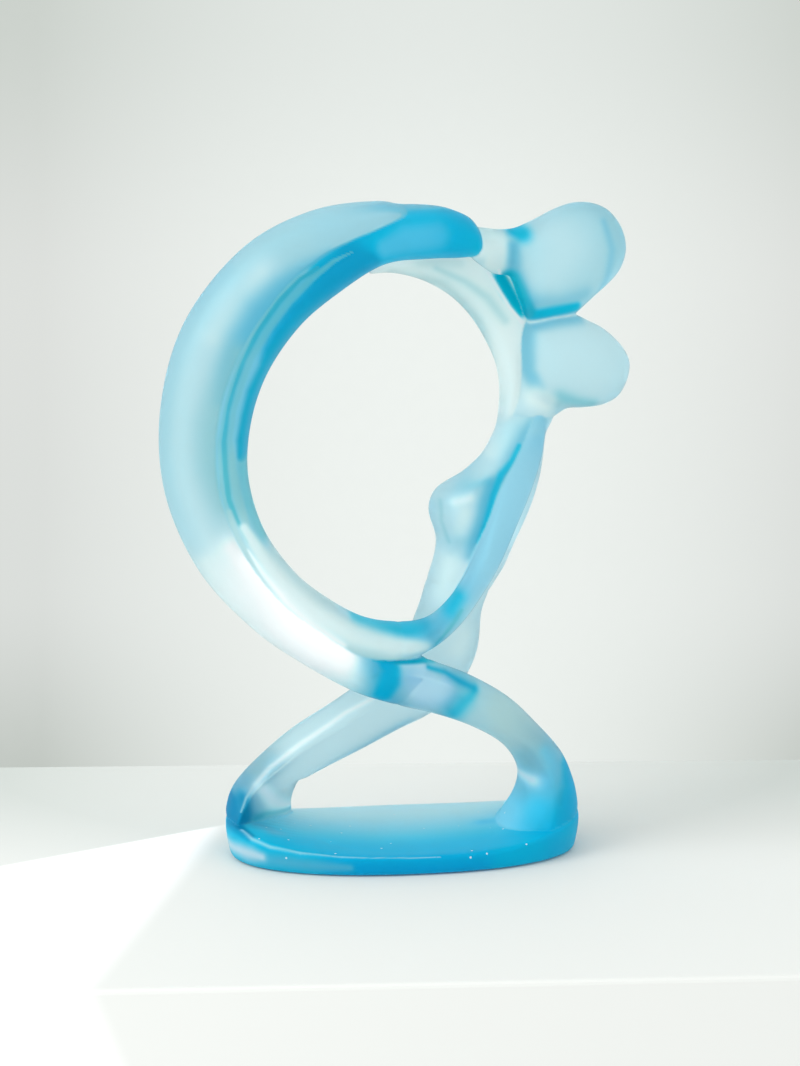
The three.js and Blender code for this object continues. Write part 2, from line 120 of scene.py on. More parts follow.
def nodeFacets(node):
    # the node's triangles, and its points welded to a thousandth of a millimetre
    mesh = node.data
    points = np.zeros(len(mesh.vertices) * 3, np.float32)
    mesh.vertices.foreach_get("co", points)
    mesh.calc_loop_triangles()
    corners = np.zeros(len(mesh.loop_triangles) * 3, np.int32)
    mesh.loop_triangles.foreach_get("vertices", corners)
    microns = np.round(points.reshape(-1, 3).astype(np.float64) * 1e6).astype(np.int64)
    unique, place = np.unique(microns, axis=0, return_inverse=True)
    corners = place.reshape(-1)[corners].reshape(-1, 3)
    distinct = np.all(corners != np.roll(corners, -1, axis=1), axis=1)
    return unique * 1e-6, corners[distinct]


def unit(vectors):
    return vectors / np.maximum(np.linalg.norm(vectors, axis=-1, keepdims=True), 1e-12)


def cornerNormals(points, facets, creaseAngle):
    # a normal at each facet's corner, from the facets round that point that don't meet at a crease
    places = points[facets]
    normals = unit(np.cross(places[:, 1] - places[:, 0], places[:, 2] - places[:, 0]))
    ahead = unit(np.roll(places, -1, axis=1) - places)
    behind = unit(np.roll(places, 1, axis=1) - places)
    angles = np.arccos(np.clip(np.einsum("fcx,fcx->fc", ahead, behind), -1, 1)).ravel()
    owner = np.repeat(np.arange(len(facets)), 3)
    order = np.argsort(facets.ravel(), kind="stable")
    count = np.bincount(facets.ravel(), minlength=len(points))
    start = np.concatenate([[0], np.cumsum(count)[:-1]])
    about = count[facets.ravel()]
    mine = np.repeat(np.arange(len(owner)), about)
    offset = np.arange(len(mine)) - np.repeat(np.cumsum(about) - about, about)
    other = order[start[facets.ravel()[mine]] + offset]
    lean = np.einsum("px,px->p", normals[owner[mine]], normals[owner[other]])
    alike = lean > math.cos(math.radians(creaseAngle))
    sums = np.zeros((len(owner), 3))
    np.add.at(sums, mine[alike], normals[owner[other[alike]]] * angles[other[alike], None])
    corners = unit(sums).reshape(-1, 3, 3)
    under = normals[:, 2] < -casting["flatUnder"]
    corners[under] = normals[under][:, None]
    return corners


def curvedPatches(points, facets, normals, steps):
    # each flat facet as a cubic patch that leans with the normals at its corners, cut into small triangles
    p, n = points[facets], normals

    def edgePoint(a, b):
        lean = np.einsum("fx,fx->f", p[:, b] - p[:, a], n[:, a])[:, None]
        return (2 * p[:, a] + p[:, b] - lean * n[:, a]) / 3

    edges = {(a, b): edgePoint(a, b) for a in range(3) for b in range(3) if a != b}
    edgeMean = sum(edges.values()) / 6
    centre = edgeMean + (edgeMean - p.mean(axis=1)) / 2
    grid = [(i / steps, j / steps) for i in range(steps + 1) for j in range(steps + 1 - i)]
    index = {(round(u * steps), round(v * steps)): k for k, (u, v) in enumerate(grid)}
    surface = []
    for u, v in grid:
        w = 1 - u - v
        weights = (w, u, v)
        place = sum(p[:, a] * weights[a] ** 3 for a in range(3)) + 6 * u * v * w * centre
        place = place + sum(3 * weights[a] ** 2 * weights[b] * point for (a, b), point in edges.items())
        surface.append(place)
    surface = np.stack(surface, axis=1)
    small = []
    for i in range(steps):
        for j in range(steps - i):
            small.append((index[i, j], index[i + 1, j], index[i, j + 1]))
            if i + j < steps - 1:
                small.append((index[i + 1, j], index[i + 1, j + 1], index[i, j + 1]))
    base = np.arange(len(facets))[:, None, None] * len(grid)
    triangles = (base + np.array(small)[None]).reshape(-1, 3)
    return surface.reshape(-1, 3), triangles


def gridBox(low, high, voxel, margin):
    first = np.floor((np.array(low) - margin) / voxel).astype(int)
    last = np.ceil((np.array(high) + margin) / voxel).astype(int)
    return first, last - first + 1


def distanceGrid(points, triangles, first, shape):
    voxel, band = casting["voxel"], casting["band"]
    level = openvdb.FloatGrid.createLevelSetFromPolygons(
        points.astype(np.float32), triangles=triangles.astype(np.uint32),
        transform=openvdb.createLinearTransform(voxel), halfWidth=float(band))
    values = np.full(tuple(shape), band * voxel, np.float32)
    level.copyToArray(values, tuple(int(v) for v in first))
    return values


def blur(values, sigma):
    reach = int(math.ceil(3 * sigma))
    weights = np.exp(-0.5 * (np.arange(-reach, reach + 1) / sigma) ** 2)
    weights /= weights.sum()
    for axis in range(3):
        padding = [(reach, reach) if a == axis else (0, 0) for a in range(3)]
        padded = np.pad(values, padding, mode="edge")
        total = np.zeros_like(values)
        for step, weight in enumerate(weights):
            window = [slice(None)] * 3
            window[axis] = slice(step, step + values.shape[axis])
            total += np.float32(weight) * padded[tuple(window)]
        values = total
    return values


def castField():
    # distance to the casting's surface on a grid round the whole object, in metres, and to each of its parts
    voxel = casting["voxel"]
    margin = (casting["band"] + 2) * voxel
    first, shape = gridBox(cadLow, cadHigh, voxel, margin)
    field = np.full(tuple(shape), casting["band"] * voxel, np.float32)
    parts = {}
    for name in sorted(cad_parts):
        points, facets = nodeFacets(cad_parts[name])
        normals = cornerNormals(points, facets, casting["creaseAngle"])
        points, triangles = curvedPatches(points, facets, normals, casting["patchSteps"])
        start, size = gridBox(points.min(axis=0), points.max(axis=0), voxel, margin)
        start = np.maximum(start, first)
        size = np.minimum(size, first + shape - start)
        window = tuple(slice(a, a + n) for a, n in zip(start - first, size))
        parts[name] = (start, distanceGrid(points, triangles, start, size))
        np.minimum(field[window], parts[name][1], out=field[window])
    field -= casting["grow"]
    field = blur(field, casting["soften"] / voxel)
    field += casting["grow"]
    return field, first, parts


def skinOf(field, first):
    voxel = casting["voxel"]
    level = openvdb.FloatGrid(casting["band"] * voxel)
    level.transform = openvdb.createLinearTransform(voxel)
    level.copyFromArray(field, tuple(int(v) for v in first))
    return level.convertToQuads(0.0)


def sample(field, places):
    # the grid's value between its points
    low = np.clip(np.floor(places).astype(int), 0, np.array(field.shape) - 2)
    part = places - low
    total = np.zeros(len(places))
    for step in np.ndindex(2, 2, 2):
        share = np.abs(1 - np.array(step) - part).prod(axis=1)
        total += share * field[tuple((low + step).T)]
    return total


def skinNormals(field, first, points):
    places = points / casting["voxel"] - first
    normals = np.zeros((len(points), 3))
    for axis in range(3):
        shift = np.zeros(3)
        shift[axis] = 1.0
        normals[:, axis] = sample(field, places + shift) - sample(field, places - shift)
    return unit(normals)


def meshFrom(name, points, faces):
    mesh = bpy.data.meshes.new(name)
    mesh.vertices.add(len(points))
    mesh.vertices.foreach_set("co", points.astype(np.float32).ravel())
    count = faces.shape[1]
    mesh.loops.add(faces.size)
    mesh.loops.foreach_set("vertex_index", faces.astype(np.int32).ravel())
    mesh.polygons.add(len(faces))
    mesh.polygons.foreach_set("loop_start", np.arange(0, faces.size, count, dtype=np.int32))
    mesh.update(calc_edges=True)
    mesh.validate()
    return mesh


field, first, parts = castField()
points, quads = skinOf(field, first)
normals = skinNormals(field, first, points)
castMesh = meshFrom("casting", points, quads)
castMesh.polygons.foreach_set("use_smooth", np.ones(len(castMesh.polygons), bool))
castMesh.normals_split_custom_set_from_vertices(normals.astype(np.float32))
castObject = bpy.data.objects.new("casting", castMesh)
scene.collection.objects.link(castObject)
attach(castObject, "root")
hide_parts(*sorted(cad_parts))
print("the casting has %d faces" % len(quads))

# Frosted glass. How deep the blue runs is painted on the skin in soft strokes, with painted highlights,
# painted reflections and painted shade in its creases, grooves and hollows.
glass = {
    "tint": (0.10, 0.76, 0.91),
    "density": 3.0,
    "roughness": 0.46,
    "gloss": 0.0,            # etched skins mirror little
    "mirrorTint": (0.2, 0.85, 1.0),
    "clear": 0.85,           # share of the light that goes through the skin
    "index": 1.5,
    "bounces": 40,           # light runs a long way inside the glass
    "gamma": 2.2,            # of the paints' colours below
    "lift": 1.22,            # the paint's strength against the grey of the room seen through it
    "palest": 0.98,          # no painted colour is brighter
    "edge": 0.0006,          # metres over which the paint of two parts meets
    "grain": 900.0,          # etched grains per metre
    "grainDepth": 0.00004,
    "cloud": 26.0,           # soft cloudiness in the tint, per metre
    "cloudDepth": 0.1,
    "cloudDetail": 3.0,
    "bubbleCells": 150.0,    # cells per metre, each with room for one bubble
    "bubbleSize": 0.075,     # in cells
    "bubbleSpare": 0.5,      # share of the cells that stay clear
    "bubbleTop": 0.024,      # metres above the table, over which there are none
    "bubbleTint": (0.9, 0.98, 1.0),
}

# Each paint's red, green and blue up to 255, and how much it clouds the skin
paint = {
    # The first two paints are for painted reflections and painted highlights
    "snow": (255, 255, 255, 0.65),
    "highlight": (246, 250, 252, 0.4),
    "bright": (222, 238, 242, 0.25),
    "milk": (218, 232, 230, 0.1),
    "pale": (196, 222, 228, 0.0),
    "haze": (206, 232, 236, 0.35),
    "mist": (172, 210, 219, 0.0),
    "fern": (178, 208, 210, 0.0),
    "reed": (142, 194, 201, 0.0),
    "sky": (146, 202, 222, 0.0),
    "brook": (128, 194, 222, 0.0),
    "patch": (85, 186, 220, 0.0),
    "lake": (90, 178, 208, 0.0),
    "lagoon": (66, 170, 186, 0.0),
    "azure": (0, 170, 208, 0.1),
    "basin": (0, 172, 208, 0.45),
    "cove": (0, 156, 206, 0.4),
    "shore": (198, 220, 228, 0.35),
    "bay": (92, 182, 208, 0.3),
    "tide": (84, 190, 220, 0.5),
    "surf": (0, 172, 212, 0.35),
    "pool": (0, 122, 164, 0.4),
    "fog": (226, 242, 244, 0.75),
    "shoal": (124, 200, 222, 0.5),
    "lilac": (168, 206, 230, 0.0),
    "ocean": (0, 158, 188, 0.0),
    "deep": (0, 148, 190, 0.1),
}

# The nodes that each group's strokes paint
groups = {
    "back": ("tall_figure_back", "tall_figure_leg"),
    "arm": ("tall_figure_upper_arm", "tall_figure_forearm"),
    "tallHead": ("tall_figure_head",),
    "smallHead": ("small_figure_head",),
    "smallArm": ("small_figure_arm",),
    "torso": ("small_figure_torso", "small_figure_leg"),
    "smallLeg": ("small_figure_torso", "small_figure_leg"),
    "base": ("base_plinth",),
}

# The paint under the strokes
ground = {"back": "mist", "arm": "sky", "tallHead": "mist", "smallHead": "pale", "smallArm": "milk",
          "torso": "pale", "base": "basin"}

# Painted light on the base's top: paler where it faces up, more so from its front to its rear
litTop = {
    "colour": "haze",
    "front": -34.0,        # mm along Y
    "rear": 34.0,
    "steepest": 0.3,       # upward share of the skin's normal where the painted light begins
    "fade": 0.5,           # and over which it grows
}

# How a stroke falls off from its path
brush = {
    "softFall": 2,         # power of a soft stroke's fall
    "hardFall": 6,         # what a hard stroke adds to it
    "reach": 9.0,          # radii from the path at which the fall ends
}

# Brush strokes on each group: colour, strength, hardness of the rim, and the path in the picture's pixels,
# each point with the brush's radius there
# Besides how deep the blue runs, the strokes paint highlights, reflections of the sunlit table, and shade in
# creases, grooves and hollows
strokes = {
    "back": [
        ("sky", 0.3, 0, (330, 228, 24), (390, 218, 18), (450, 212, 12)),
        ("pale", 1.0, 0.1, (268, 272, 16), (238, 303, 20), (212, 338, 18), (193, 380, 15), (182, 420, 13),
            (181, 460, 14), (187, 500, 16), (200, 540, 18), (222, 580, 20)),
        ("milk", 0.7, 0, (262, 274, 10), (237, 303, 13), (214, 338, 10)),
        ("lake", 0.95, 0, (330, 255, 6), (306, 270, 9), (283, 289, 14), (262, 313, 19), (246, 340, 18),
            (234, 370, 14), (224, 400, 9)),
        ("reed", 0.8, 0, (238, 355, 12), (226, 395, 15), (217, 430, 16), (216, 470, 16), (224, 505, 11)),
        ("sky", 0.3, 0, (230, 266, 5), (203, 300, 6), (180, 345, 7), (167, 395, 7), (163, 440, 7),
            (168, 485, 9), (181, 522, 12), (203, 562, 9), (228, 592, 5)),
        # painted reflection of the sunlit table on the ring's lower left, in the next three strokes
        ("milk", 0.95, 0.1, (212, 566, 15), (238, 606, 24), (278, 640, 26), (320, 668, 24),
            (352, 684, 16)),
        ("highlight", 0.8, 0, (232, 548, 14), (258, 582, 26), (293, 614, 34), (325, 640, 34), (346, 658, 20)),
        ("snow", 0.95, 0, (244, 560, 6), (268, 590, 9), (294, 616, 16), (322, 637, 21), (344, 652, 13)),
        ("lake", 0.85, 0, (376, 656, 14), (382, 680, 19), (388, 702, 15)),
        ("azure", 1.0, 0.4, (384, 659, 7), (392, 670, 10), (390, 682, 12), (383, 694, 10)),
        ("lilac", 1.0, 0.3, (420, 678, 17), (428, 693, 19), (442, 694, 17), (446, 682, 9)),
        # a painted highlight at the crossing
        ("bright", 0.6, 0, (404, 664, 5), (420, 662, 4)),
        ("azure", 0.75, 0, (475, 690, 5), (465, 702, 9), (455, 713, 10)),
        # painted shade in the grooves at the crossing, in the next two strokes
        ("deep", 0.9, 0, (428, 667, 2.5), (445, 672, 3), (460, 681, 4), (474, 688, 4)),
        ("ocean", 1.0, 0.2, (374, 659, 2.5), (400, 662, 2.5), (423, 660, 2.5), (434, 655, 2)),
        ("fern", 1.0, 0.3, (498, 706, 14), (512, 724, 22), (529, 745, 22), (536, 762, 14)),
        ("tide", 0.6, 0, (546, 752, 10), (554, 766, 14), (548, 784, 15)),
        ("tide", 0.95, 0, (510, 830, 16), (525, 818, 18), (538, 806, 16)),
        ("shoal", 0.95, 0, (488, 832, 12), (497, 818, 12), (508, 802, 11)),
        ("surf", 1.0, 0.1, (566, 762, 8), (572, 785, 16), (570, 812, 26), (556, 838, 26)),
        # a painted highlight on the foot
        ("highlight", 0.8, 0, (522, 774, 6), (532, 780, 8)),
    ],
    "arm": [
        ("azure", 1.0, 0.6, (325, 272, 16), (350, 262, 24), (380, 250, 30), (420, 240, 32),
            (460, 238, 34), (478, 238, 26)),
        ("deep", 1.0, 0.5, (372, 262, 10), (352, 264, 20), (335, 280, 20), (317, 298, 18), (301, 316, 18),
            (287, 334, 17), (275, 352, 14), (268, 368, 12), (256, 392, 11), (250, 415, 11),
            (245, 440, 10), (243, 455, 7)),
        ("lagoon", 0.85, 0.1, (246, 466, 10), (249, 480, 12), (252, 500, 12), (263, 525, 12)),
        ("fern", 0.8, 0.1, (276, 552, 12), (300, 580, 12), (330, 600, 9)),
        ("azure", 0.95, 0.1, (350, 609, 6), (376, 618, 10), (400, 623, 13), (420, 622, 11)),
        # a pale and a dark line along the crease between back and arm: painted highlight and painted shade,
        # in the next three strokes
        ("reed", 1.0, 0.4, (352, 252, 0.5), (334, 261, 2), (311, 279, 3.5), (289, 301, 4), (268, 329, 4),
            (251, 358, 4), (241, 385, 4), (233, 410, 3.6), (229, 440, 4), (232, 470, 5), (238, 500, 5),
            (246, 525, 4)),
        ("lagoon", 1.0, 0.3, (318, 268, 2), (300, 279, 2.5), (279, 301, 3.5), (258, 331, 3.5),
            (243, 360, 3.5), (234, 386, 3), (227, 412, 3), (224, 440, 3), (225, 470, 3.5),
            (229, 500, 3.2), (237, 520, 2.4), (248, 542, 1.2)),
        ("reed", 0.8, 0.2, (306, 268, 0.5), (296, 276, 1.2), (272, 303, 1.6), (250, 338, 1.8),
            (236, 370, 1.8), (226, 404, 1.8), (219, 445, 1.8), (222, 490, 2), (229, 518, 1.6),
            (240, 544, 0.6)),
        ("fern", 0.9, 0.2, (229, 512, 3), (238, 540, 5), (262, 578, 6), (300, 620, 6), (345, 648, 6),
            (395, 660, 6), (430, 657, 5)),
        ("milk", 1.0, 0.3, (244, 528, 5), (265, 560, 8), (289, 590, 11), (320, 616, 12), (355, 636, 12),
            (395, 647, 11), (425, 647, 7)),
        # a painted highlight along the ring's lower band
        ("highlight", 0.7, 0, (248, 550, 1), (262, 572, 3), (286, 602, 5), (312, 626, 6), (344, 645, 3)),
        ("mist", 0.9, 0.3, (392, 204, 7), (415, 202, 6), (440, 201, 5.5), (458, 205, 5), (470, 214, 4),
            (480, 229, 3)),
        ("patch", 0.9, 0.3, (386, 248, 10), (408, 240, 15), (438, 236, 14)),
        ("brook", 1.0, 0.5, (468, 588, 16), (490, 552, 20), (508, 515, 22), (522, 482, 20),
            (535, 450, 16)),
        ("azure", 0.95, 0, (456, 595, 9), (448, 609, 12)),
        ("lake", 0.6, 0, (442, 622, 12), (432, 632, 10)),
        # painted shade in the groove between forearm and leg
        ("lagoon", 0.9, 0, (424, 654, 1.5), (437, 643, 2.5), (450, 628, 2.5), (462, 610, 1.5)),
    ],
    "tallHead": [
        ("milk", 1.0, 0.5, (484, 240, 20), (497, 246, 17), (496, 262, 12)),
        ("pale", 0.9, 0, (550, 228, 26), (568, 248, 30), (552, 278, 24)),
        ("azure", 1.0, 0.2, (513, 229, 8), (521, 233, 10)),
        # painted shade on the throat, along the head's lower edge where it meets the small head, and on its
        # right rim, in the next five strokes
        ("lake", 0.9, 0.1, (514, 246, 6), (514, 268, 7), (520, 290, 8), (527, 305, 8)),
        ("lake", 0.5, 0, (538, 302, 9), (560, 302, 9), (586, 294, 8)),
        ("azure", 1.0, 0.3, (529, 315, 7), (552, 312, 7), (576, 307, 6)),
        ("lake", 0.5, 0, (604, 222, 4), (612, 250, 5), (607, 278, 5), (592, 304, 5)),
        ("ocean", 1.0, 0.5, (506, 277, 10), (513, 292, 10), (524, 311, 8)),
        # painted highlights along the line between the heads and beside the throat, in the next two strokes
        ("highlight", 0.8, 0, (529, 322, 1.8), (553, 318, 1.8), (578, 313, 1.6)),
        ("highlight", 0.9, 0.3, (499, 270, 1.5), (504, 288, 1.5), (514, 306, 1.5), (526, 320, 1.5)),
    ],
    "smallHead": [
        ("pale", 0.9, 0, (545, 343, 14), (580, 350, 26), (600, 360, 18)),
        # painted shade at the head's left side, under the tall head and at its lower edge, in the next three
        # strokes
        ("lake", 0.85, 0.1, (525, 328, 8), (526, 350, 8), (528, 370, 7), (537, 388, 7)),
        ("lake", 0.9, 0, (535, 326, 5), (555, 321, 6), (578, 317, 6)),
        ("lagoon", 0.6, 0, (560, 397, 8), (576, 402, 7), (592, 404, 6)),
        # a painted highlight along the line between the heads
        ("highlight", 0.8, 0, (529, 322, 1.8), (553, 318, 1.8), (578, 313, 1.6)),
        ("milk", 1.0, 0.2, (536, 396, 12), (548, 402, 10)),
    ],
    "smallArm": [
        ("milk", 1.0, 0.9, (400, 265, 30), (460, 275, 40), (500, 340, 40), (500, 420, 40)),
        ("reed", 0.5, 0, (436, 268, 3), (466, 282, 4), (488, 298, 5), (505, 320, 5)),
        ("fern", 0.6, 0, (395, 274, 4), (445, 284, 5), (478, 320, 5), (492, 360, 4), (497, 400, 4)),
        ("fern", 0.6, 0, (420, 262, 6), (460, 263, 6)),
        # painted shade in the hollow under the tall head, then a painted highlight beside it
        ("ocean", 1.0, 0.5, (500, 277, 7), (508, 292, 8), (521, 311, 7)),
        ("highlight", 0.9, 0.2, (489, 273, 2), (499, 290, 2), (510, 308, 2), (522, 322, 2)),
    ],
    "torso": [
        ("milk", 1.0, 0.3, (500, 420, 18), (490, 446, 12), (530, 412, 12)),
        # painted shade where the torso falls away into the groove beside the forearm, in the next three
        # strokes
        ("lake", 0.85, 0, (540, 421, 9), (527, 436, 11), (514, 456, 10), (502, 478, 8)),
        ("lake", 0.9, 0.1, (492, 486, 9), (486, 508, 11), (480, 532, 11), (472, 556, 8)),
        ("azure", 0.8, 0.2, (519, 446, 3), (512, 461, 3.5), (501, 475, 4.5), (494, 495, 4.5),
            (489, 515, 5), (482, 542, 4.5)),
        # painted highlights on the breast, in the next two strokes
        ("bright", 0.9, 0, (455, 502, 5), (470, 498, 5)),
        ("bright", 0.6, 0, (465, 515, 11), (460, 530, 9)),
        ("sky", 0.4, 0, (431, 500, 4), (431, 515, 4), (436, 530, 3)),
        ("reed", 0.5, 0, (440, 500, 2), (441, 520, 2), (449, 542, 2)),
        ("bright", 0.6, 0, (452, 560, 14), (446, 595, 14)),
        ("milk", 0.5, 0, (464, 636, 14), (458, 650, 10)),
    ],
    "smallLeg": [
        ("pale", 0.8, 0, (330, 745, 16), (300, 765, 16)),
        # a painted highlight along the leg's front ridge
        ("highlight", 0.6, 0, (372, 699, 2), (345, 713, 2), (330, 724, 2), (300, 744, 2), (270, 767, 2),
            (254, 785, 1.4)),
        ("fern", 0.6, 0, (340, 692, 5), (300, 722, 5), (262, 755, 5), (240, 780, 6)),
        ("sky", 0.6, 0, (412, 724, 4), (372, 746, 4), (320, 770, 4)),
        ("sky", 0.8, 0, (238, 784, 10), (244, 776, 8)),
        ("pool", 1.0, 0.3, (230, 798, 8), (229, 812, 14), (233, 828, 16)),
        ("pool", 0.9, 0.1, (243, 800, 9), (246, 818, 10)),
        # that painted highlight, run on down the foot
        ("milk", 0.7, 0, (254, 785, 1.2), (246, 798, 1), (241, 812, 0.8)),
        ("fog", 0.95, 0, (264, 790, 8), (274, 800, 10), (288, 806, 8)),
        ("lagoon", 0.8, 0, (256, 818, 6), (266, 814, 4), (290, 808, 2)),
        ("milk", 0.7, 0, (284, 790, 4), (292, 803, 4)),
    ],
    "base": [
        ("cove", 1.0, 0, (330, 868, 12), (380, 870, 12), (430, 872, 16), (480, 868, 14)),
        ("pool", 1.0, 0.2, (230, 818, 9), (240, 828, 7), (250, 836, 5)),
        ("bay", 1.0, 0, (258, 824, 10), (275, 832, 12)),
        ("bay", 0.9, 0, (246, 855, 10), (284, 862, 9), (316, 866, 8), (350, 868, 4)),
        ("shore", 1.0, 0, (229, 843, 9), (240, 850, 9), (252, 854, 8), (262, 857, 5)),
        # a painted highlight along the base's front rim
        ("shore", 0.75, 0, (242, 830, 2), (252, 839, 2), (270, 847, 1.8), (300, 853, 1.5),
            (340, 857, 1.2), (370, 858, 1), (410, 858, 0.8), (440, 857, 0.5)),
        ("surf", 1.0, 0.2, (575, 790, 20), (578, 830, 24), (572, 850, 20)),
        ("surf", 0.8, 0, (545, 830, 14), (555, 845, 14)),
        ("tide", 0.9, 0, (484, 822, 12), (502, 812, 16), (530, 806, 18)),
    ],
}


def smooth(values):
    values = np.clip(values, 0, 1)
    return values * values * (3 - 2 * values)


def partMasks(points):
    # how much of each group's paint a point takes, from its distances to the parts
    voxel = casting["voxel"]
    reach = {}
    for name, (start, values) in parts.items():
        places = points / voxel - start
        inside = np.all((places >= 0) & (places <= np.array(values.shape) - 1), axis=1)
        distance = np.full(len(points), casting["band"] * voxel)
        distance[inside] = sample(values, places[inside])
        reach[name] = distance
    masks = {}
    for group, members in groups.items():
        own = np.min([reach[name] for name in members], axis=0)
        others = np.min([reach[name] for name in reach if name not in members], axis=0)
        masks[group] = smooth(0.5 + (others - own) / (2 * glass["edge"]))
    return masks


def pathOnGlass(skin, group, path):
    # the stroke in mm: in space on the base, elsewhere through the whole depth behind the picture
    pixel = 1000 * camera["distance"] / camera["focal"]
    middle = Vector((0, 1, 0))
    stroke = []
    for u, w, radius in path:
        place = skin.ray_cast(*sightLine(u, w))[0] or sightPoint(u, w, Vector(), middle)
        place = place * 1000
        where = tuple(place) if group == "base" else (place.x, place.z)
        stroke.append((*where, radius * pixel))
    return stroke


def strokeWeight(places, path, hardness):
    # 1 along the path, and about a third at the brush's radius
    axes = (0, 2) if len(path[0]) == 3 else (0, 1, 2)
    flat = places[:, axes]
    nearest = np.full(len(flat), brush["reach"])
    for start, end in zip(path, path[1:] or path):
        a, b = np.array(start[:-1]), np.array(end[:-1])
        span = max(float(np.dot(b - a, b - a)), 1e-9)
        t = np.clip((flat - a) @ (b - a) / span, 0, 1)
        gap = np.linalg.norm(flat - a - t[:, None] * (b - a), axis=1)
        nearest = np.minimum(nearest, gap / (start[-1] + (end[-1] - start[-1]) * t))
    return np.exp(-nearest ** (brush["softFall"] + brush["hardFall"] * hardness))


def paintedTint(points, quads, normals):
    # the skin's colour, and in the fourth place the share of light that goes through it
    masks = partMasks(points)
    places = points * 1000
    total = sum(masks[group] for group in ground)[:, None]
    coat = sum(masks[group][:, None] * np.array(paint[ground[group]]) for group in ground) / total
    # painted light: the base's top grows paler where it faces up, towards its rear
    rearward = smooth((places[:, 1] - litTop["front"]) / (litTop["rear"] - litTop["front"]))
    level = smooth((normals[:, 2] - litTop["steepest"]) / litTop["fade"])
    coat += (rearward * masks["base"] * level)[:, None] * (np.array(paint[litTop["colour"]]) - coat)
    skin = BVHTree.FromPolygons(points.tolist(), quads.tolist())
    for group, layers in strokes.items():
        for name, strength, hardness, *path in layers:
            stroke = pathOnGlass(skin, group, path)
            weight = (masks[group] * strength * strokeWeight(places, stroke, hardness))[:, None]
            coat += weight * (np.array(paint[name]) - coat)
    coat[:, :3] = np.minimum(glass["lift"] * (coat[:, :3] / 255) ** glass["gamma"], glass["palest"])
    coat[:, 3] = glass["clear"] * (1 - coat[:, 3])
    return coat


def mathNode(tree, operation, first, second):
    node = tree.nodes.new("ShaderNodeMath")
    node.operation = operation
    for socket, value in zip(node.inputs, (first, second)):
        if isinstance(value, (int, float)):
            socket.default_value = value
        else:
            tree.links.new(value, socket)
    return node.outputs[0]


def mixedColour(tree, share, first, second):
    node = tree.nodes.new("ShaderNodeMix")
    node.data_type = "RGBA"
    tree.links.new(share, node.inputs["Factor"])
    for socket, value in zip((node.inputs[6], node.inputs[7]), (first, second)):
        if isinstance(value, tuple):
            socket.default_value = (*value, 1)
        else:
            tree.links.new(value, socket)
    return node.outputs[2]


def noiseNode(tree, place, scale, detail=None):
    node = tree.nodes.new("ShaderNodeTexNoise")
    node.inputs["Scale"].default_value = scale
    if detail is not None:
        node.inputs["Detail"].default_value = detail
    tree.links.new(place, node.inputs["Vector"])
    return node.outputs["Fac"]


def alongNode(tree, place, direction):
    # how far a place lies in a direction
    node = tree.nodes.new("ShaderNodeVectorMath")
    node.operation = "DOT_PRODUCT"
    tree.links.new(place, node.inputs[0])
    node.inputs[1].default_value = direction
    return node.outputs["Value"]


def rangeNode(tree, value, low, high, ends=(0.0, 1.0), blend="LINEAR"):
    # the value between low and high, as a share between the two ends
    node = tree.nodes.new("ShaderNodeMapRange")
    node.interpolation_type = blend
    for name, number in zip(("From Min", "From Max", "To Min", "To Max"), (low, high, *ends)):
        node.inputs[name].default_value = number
    tree.links.new(value, node.inputs["Value"])
    return node.outputs["Result"]


